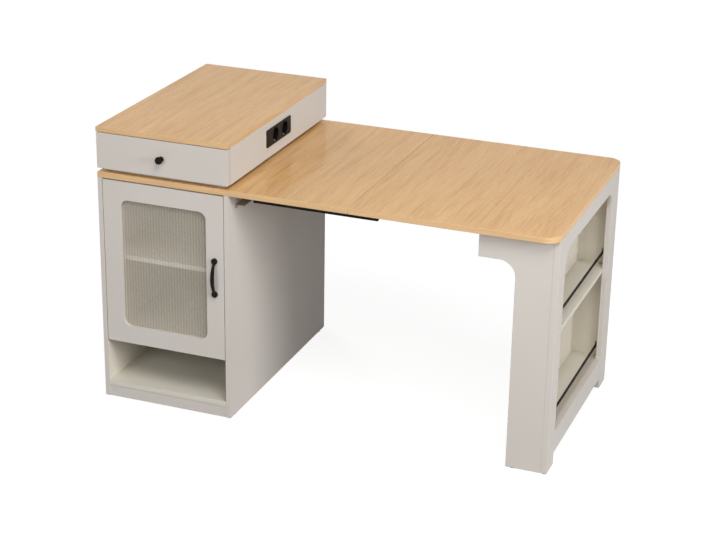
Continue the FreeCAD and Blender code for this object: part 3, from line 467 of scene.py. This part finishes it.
slotFinish = {
    "painted_board": painted,
    "fluted_glass": glass,
    "black_metal": blackMetal,
    "zinc_steel": zinc,
    "black_plastic": blackPlastic,
    "white_plastic": whitePlastic,
    "oak": oakTop,
}
ownFinish = {
    "unit_top": oakUnit,
    "leaf_board": oakLeaf,
    "end_board": oakEnd,
    "unit_side_right": unitFlankBounceOffset,
    "end_panel_front": panelFront,
    "end_panel_back": panelBack,
    "cabinet_back": panelBack,
    "cabinet_side_left": flankLeft,
    "end_inner_panel": flankLeft,
    "cabinet_side_right": flankRight,
    "cupboard_shelf": shelfPaint,
    "end_floor": bounceLitInside,
    "end_middle_shelf": bounceLitInside,
    "niche_floor": bounceLitInside,
    "cupboard_floor": bounceLitInside,
    "cabinet_top": bounceLitInside,
    "side_ledger": steelPaint,
    "gallery_flanges": pewter,
    "cabinet_glides": glidePlastic,
    "end_glides": glidePlastic,
}


easeLook = {
    "usual": 0.0008,         # arris widths in metres
    "wide": 0.0014,
    "weld": 0.00001,
    "segments": 2,
    "sharpest": 40,          # degrees; flatter corners are left alone
    "wideOn": ["end_panel_front", "end_panel_back", "end_face_frame", "drawer_front"],
    "none": ["door_glass", "door_handle", "drawer_knob", "gallery_rods", "gallery_flanges",
             "shelf_pins", "hinge_cups", "cable_grommet", "fixed_board", "leaf_board",
             "end_board", "unit_top", "handle_screws", "socket_plate", "drawer_slide_outers",
             "drawer_slide_middles", "drawer_slide_inners", "runner_outer_front",
             "runner_outer_back", "runner_middles", "runner_inners", "cabinet_glides",
             "end_glides", "door_catch", "catch_strike", "hinge_arms", "glass_bead",
             "socket_housing"],
}


def dressNode(name, finish):
    piece = nodes[name]
    piece.data.materials.clear()
    piece.data.materials.append(finish)


def softenArrises(name, width):
    # sanded edges: the board keeps its faces and only its sharp corners are eased
    piece = nodes[name]
    weld = piece.modifiers.new("weld", "WELD")
    weld.merge_threshold = easeLook["weld"]
    ease = piece.modifiers.new("ease", "BEVEL")
    ease.width = width
    ease.segments = easeLook["segments"]
    ease.limit_method = "ANGLE"
    ease.angle_limit = math.radians(easeLook["sharpest"])
    ease.harden_normals = True


slots = {part["node"]: part["material_slot"] for part in frame["record"]["subparts"]}
for name in sorted(nodes):
    dressNode(name, ownFinish.get(name, slotFinish[slots[name]]))
    if name not in easeLook["none"]:
        softenArrises(name, easeLook["wide" if name in easeLook["wideOn"] else "usual"])
print("dressed", len(nodes), "CAD pieces")


def newPiece(name, body, finish, shape):
    # a shape that was put together here and rides on one of the bodies
    bmesh.ops.recalc_face_normals(shape, faces=shape.faces)
    mesh = bpy.data.meshes.new(name)
    shape.to_mesh(mesh)
    shape.free()
    mesh.materials.append(finish)
    piece = bpy.data.objects.new(name, mesh)
    bpy.context.scene.collection.objects.link(piece)
    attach(piece, body)


def bridge(shape, low, high, smooth=False):
    # a band of faces between two rings of the same length
    for number in range(len(low)):
        after = (number + 1) % len(low)
        face = shape.faces.new((low[number], low[after], high[after], high[number]))
        face.smooth = smooth


screwLook = {
    "sides": 24,
    "rise": 0.42,            # as a share of the head's radius, as are the recess's arms
    "armWidth": 0.15,
    "armReach": 0.46,
    "depth": 0.7,            # share of the head's rise
    "dome": ((1.0, 0.0), (1.0, 0.30), (0.90, 0.72), (0.72, 1.0)),    # radius, height
    "plate": 0.0034,         # head radius on the hinge plates
    "plateIn": 0.002,        # places in metres, counted from the node's box
    "plateBack": 0.006,
    "plateEnds": (0.008, 0.042),
    "arm": 0.0028,
    "armIn": 0.012,
    "armBack": (0.010, 0.026),
    "armEnd": 0.025,
    "ledger": 0.0032,
    "ledgerIn": 0.003,
    "ledgerUp": 0.0050,
    "ledgerAlong": (-0.29, -0.10, 0.10, 0.29),
    "bracket": 0.0034,
    "bracketIn": (0.011, 0.0165),
    "bracketUp": 0.003,
}


def addScrew(shape, place, facing, radius):
    # a domed head with a cross recess
    look = screwLook
    rise = radius * look["rise"]
    turn = Vector(facing).to_track_quat("Z", "Y").to_matrix().to_4x4()
    spot = Matrix.Translation(place) @ turn

    def ring(share, height):
        step = 2 * math.pi / look["sides"]
        return [shape.verts.new(spot @ Vector((radius * share * math.cos(step * number),
                                               radius * share * math.sin(step * number),
                                               rise * height)))
                for number in range(look["sides"])]

    rings = [ring(share, height) for share, height in look["dome"]]
    for low, high in zip(rings, rings[1:]):
        bridge(shape, low, high, True)
    shape.faces.new(list(reversed(rings[0])))
    near, far = radius * look["armWidth"], radius * look["armReach"]
    cross = [(far, -near), (far, near), (near, near), (near, far), (-near, far), (-near, near),
             (-far, near), (-far, -near), (-near, -near), (-near, -far), (near, -far),
             (near, -near)]
    deep = rise * (1 - look["depth"])
    lip = [shape.verts.new(spot @ Vector((x, y, rise))) for x, y in cross]
    sole = [shape.verts.new(spot @ Vector((x, y, deep))) for x, y in cross]
    rim = [shape.edges.get((rings[-1][number], rings[-1][number - 1]))
           for number in range(look["sides"])]
    rim += [shape.edges.new((lip[number], lip[number - 1])) for number in range(len(lip))]
    bmesh.ops.triangle_fill(shape, edges=rim, use_beauty=True)
    bridge(shape, lip, sole)
    shape.faces.new(sole)


def makeScrews(name, body, places, facing, radius):
    shape = bmesh.new()
    for place in places:
        addScrew(shape, place, facing, radius)
    newPiece(name, body, zinc, shape)


def fitScrews():
    look = screwLook
    low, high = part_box("hinge_arms")
    ledgerLow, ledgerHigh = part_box("side_ledger")
    bracketLow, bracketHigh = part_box("leaf_brackets")
    near, far = look["plateEnds"]
    back = (low[1] + high[1]) / 2 + look["plateBack"]
    plates = [(low[0] + look["plateIn"], back, z)
              for z in (low[2] + near, low[2] + far, high[2] - far, high[2] - near)]
    makeScrews("hinge_plate_screws", "cabinet", plates, (1, 0, 0), look["plate"])
    arms = [(low[0] + look["armIn"], high[1] - inward, z) for inward in look["armBack"]
            for z in (low[2] + look["armEnd"], high[2] - look["armEnd"])]
    makeScrews("hinge_arm_screws", "cabinet", arms, (1, 0, 0), look["arm"])
    middle = (ledgerLow[1] + ledgerHigh[1]) / 2
    rail = [(ledgerLow[0] + look["ledgerIn"], middle + along, ledgerLow[2] + look["ledgerUp"])
            for along in look["ledgerAlong"]]
    makeScrews("ledger_screws", "cabinet", rail, (1, 0, 0), look["ledger"])
    inX, inY = look["bracketIn"]
    feet = [(x, y, bracketHigh[2] - look["bracketUp"])
            for x in (bracketLow[0] + inX, bracketHigh[0] - inX)
            for y in (bracketLow[1] + inY, bracketHigh[1] - inY)]
    makeScrews("bracket_screws", "end_section", feet, (0, 0, -1), look["bracket"])


outletLook = {
    "wells": (-0.0275, 0.0425),      # centres along the depth
    "height": 0.825,
    "floor": -0.2958,                # where a well's floor lies along the length
    "radius": 0.022,
    "clipWidth": 0.005,
    "clipThick": 0.0007,
    # how far out of the well's floor and how far in from its wall the clip's bends lie
    "clipBends": ((0.0003, 0.0007), (0.0045, 0.0007), (0.0070, 0.0030),
                  (0.0090, 0.0030), (0.0118, 0.0008), (0.0135, 0.0006)),
    "pinGap": 0.0095,        # from the well's middle to a contact
    "sleeveRadius": 0.0023,
    "sleeveWall": 0.0005,
    "sleeveDepth": 0.008,
    "sleeveSunk": 0.0003,
    "sleeveSides": 16,
}


def addStrip(shape, path, middle, width):
    # a bent metal strip: its path lies in the plane of length and height
    thick = outletLook["clipThick"]
    rows = []
    for number, (x, z) in enumerate(path):
        before, after = path[max(number - 1, 0)], path[min(number + 1, len(path) - 1)]
        run = Vector((after[0] - before[0], after[1] - before[1])).normalized()
        off = Vector((-run.y, run.x)) * thick / 2
        rows.append([shape.verts.new((x + off.x * way, middle + width / 2 * side,
                                      z + off.y * way))
                     for way, side in ((-1, -1), (1, -1), (1, 1), (-1, 1))])
    for low, high in zip(rows, rows[1:]):
        bridge(shape, low, high)
    shape.faces.new(rows[0])
    shape.faces.new(list(reversed(rows[-1])))


def addSleeve(shape, x, y, z):
    # a tube: outer mouth, outer end, inner end and inner mouth, closed in a loop
    look = outletLook
    outer = look["sleeveRadius"]
    inner = outer - look["sleeveWall"]
    turn = 2 * math.pi / look["sleeveSides"]
    rings = []
    for size, back in ((outer, 0), (outer, 1), (inner, 1), (inner, 0)):
        rings.append([shape.verts.new((x - look["sleeveDepth"] * back,
                                       y + size * math.cos(turn * step),
                                       z + size * math.sin(turn * step)))
                      for step in range(look["sleeveSides"])])
    for number, ring in enumerate(rings):
        bridge(shape, ring, rings[(number + 1) % len(rings)], True)


def fitOutlet():
    # earthing clips at the top and foot of each well, contacts side by side behind its floor
    look = outletLook
    clips = bmesh.new()
    sleeves = bmesh.new()
    for well in look["wells"]:
        for way in (-1, 1):
            path = [(look["floor"] + out, look["height"] + way * (look["radius"] - inward))
                    for out, inward in look["clipBends"]]
            addStrip(clips, path, well, look["clipWidth"])
            addSleeve(sleeves, look["floor"] - look["sleeveSunk"],
                      well + way * look["pinGap"], look["height"])
    newPiece("earth_clips", "cabinet", zinc, clips)
    newPiece("contact_sleeves", "cabinet", brass, sleeves)


fitScrews()
fitOutlet()
print("screws and socket fittings")


stageLook = {
    "floorHalf": 7.0,
    "floorDrop": 0.0004,
    "floorTone": paint(160, 160, 160),       # what the floor throws back at the object
    "seenTone": paint(130, 130, 130),
    "seenGlow": 0.88,
    "plainFrom": 1.3,                        # where the shadow's zone fades out, in metres
    "plainTo": 3.0,
    "skyTone": (1.0, 0.94, 0.86, 1.0),
    "skyForLight": 0.05,
}


def eitherRay(f):
    # camera, glossy and transmission rays see the plain white of the studio
    seen = f.node("ShaderNodeLightPath", out="Is Camera Ray")
    shiny = f.node("ShaderNodeLightPath", out="Is Glossy Ray")
    through = f.node("ShaderNodeLightPath", out="Is Transmission Ray")
    return seen.larger(shiny).larger(through)


def makeStage():
    look = stageLook
    mesh = bpy.data.meshes.new("floor")
    half = look["floorHalf"]
    shape = bmesh.new()
    shape.faces.new([shape.verts.new((x, y, -look["floorDrop"])) for x, y in
                     ((-half, -half), (half, -half), (half, half), (-half, half))])
    shape.to_mesh(mesh)
    shape.free()
    floor = bpy.data.objects.new("floor", mesh)
    bpy.context.scene.collection.objects.link(floor)
    f = Finish("pale_floor")
    giving = f.node("ShaderNodeBsdfDiffuse", None, {"Color": look["floorTone"]})
    shown = f.node("ShaderNodeBsdfDiffuse", None, {"Color": look["seenTone"]})
    glow = f.node("ShaderNodeEmission", None, {"Color": (1, 1, 1, 1),
                                               "Strength": look["seenGlow"]})
    near = f.node("ShaderNodeAddShader", None, {0: shown, 1: glow})
    white = f.node("ShaderNodeEmission", None, {"Color": (1, 1, 1, 1), "Strength": 1.0})
    away = f.node("ShaderNodeVectorMath", {"operation": "LENGTH"}, {0: f.place()}, 1)
    far = f.grey(away, look["plainFrom"], look["plainTo"])
    seenFloor = f.node("ShaderNodeMixShader", None, {0: far, 1: near, 2: white})
    mesh.materials.append(f.finishWith(f.node("ShaderNodeMixShader", None,
                                              {0: eitherRay(f), 1: giving, 2: seenFloor})))


class Sky(Finish):
    # the same helper for the world's nodes
    def __init__(self):
        self.world = bpy.data.worlds.new("sky")
        bpy.context.scene.world = self.world
        self.world.use_nodes = True
        self.tree = self.world.node_tree
        self.tree.nodes.clear()
        self.output = self.tree.nodes.new("ShaderNodeOutputWorld")


def makeSky():
    f = Sky()
    white = f.node("ShaderNodeBackground", None, {"Color": (1, 1, 1, 1), "Strength": 1.0})
    soft = f.node("ShaderNodeBackground", None, {"Color": stageLook["skyTone"],
                                                 "Strength": stageLook["skyForLight"]})
    both = f.node("ShaderNodeMixShader", None, {0: eitherRay(f), 1: soft, 2: white})
    f.tree.links.new(both.socket, f.output.inputs["Surface"])


lampLook = {
    # name: place, aim, size in metres, power in watts
    "key": ((1.6, -2.6, 4.3), (0.0, 0.0, 0.4), 2.2, 134.0),
    "keyLow": ((3.7, -3.7, 2.4), (0.3, 0.0, 0.4), 1.8, 46.0),
    "front": ((-1.2, -4.8, 2.2), (-0.1, 0.0, 0.5), 2.2, 80.0),
    "ceiling": ((-1.0, 0.0, 3.8), (-0.5, 0.0, 0.7), 2.4, 8.0),
    "side": ((4.6, -1.6, 1.8), (0.4, 0.0, 0.5), 1.5, 112.0),
    "behind": ((-4.2, 3.2, 2.2), (-0.3, 0.0, 0.4), 2.4, 135.0),
}


def makeLamps():
    for name, (place, aim, width, power) in lampLook.items():
        data = bpy.data.lights.new(name, "AREA")
        data.shape = "SQUARE"
        data.size = width
        data.energy = power
        lamp = bpy.data.objects.new(name, data)
        bpy.context.scene.collection.objects.link(lamp)
        lamp.visible_glossy = False    # the lacquer mirrors the white studio, never a lamp
        lamp.location = place
        beam = Vector(aim) - Vector(place)
        lamp.rotation_euler = beam.to_track_quat("-Z", "Y").to_euler()


cameraLook = {
    "place": (1.83886, -4.87552, 2.51791),
    "heading": -20.7874,     # angles in degrees; this one from straight along the depth
    "tilt": 22.0571,         # downwards
    "roll": 1.0095,
    "focal": 1792.33,        # in pixels
    "pixelsAcross": 716,
    "sensor": 36.0,
    "farthest": 100.0,
}


def makeCamera():
    look = cameraLook
    heading, tilt, roll = (math.radians(look[key]) for key in ("heading", "tilt", "roll"))
    forward = Vector((math.sin(heading) * math.cos(tilt), math.cos(heading) * math.cos(tilt),
                      -math.sin(tilt)))
    side = Vector((math.cos(heading), -math.sin(heading), 0.0))
    over = side.cross(forward)
    right = math.cos(roll) * side + math.sin(roll) * over
    top = math.cos(roll) * over - math.sin(roll) * side
    data = bpy.data.cameras.new("camera")
    data.sensor_width = look["sensor"]
    data.lens = look["focal"] * look["sensor"] / look["pixelsAcross"]
    data.clip_end = look["farthest"]
    camera = bpy.data.objects.new("camera", data)
    bpy.context.scene.collection.objects.link(camera)
    turn = Matrix((right, top, -forward)).transposed().to_4x4()
    camera.matrix_world = Matrix.Translation(look["place"]) @ turn
    bpy.context.scene.camera = camera


makeStage()
makeSky()
makeLamps()
makeCamera()
bpy.context.scene.view_settings.view_transform = "Standard"
print("stage, lamps and camera")
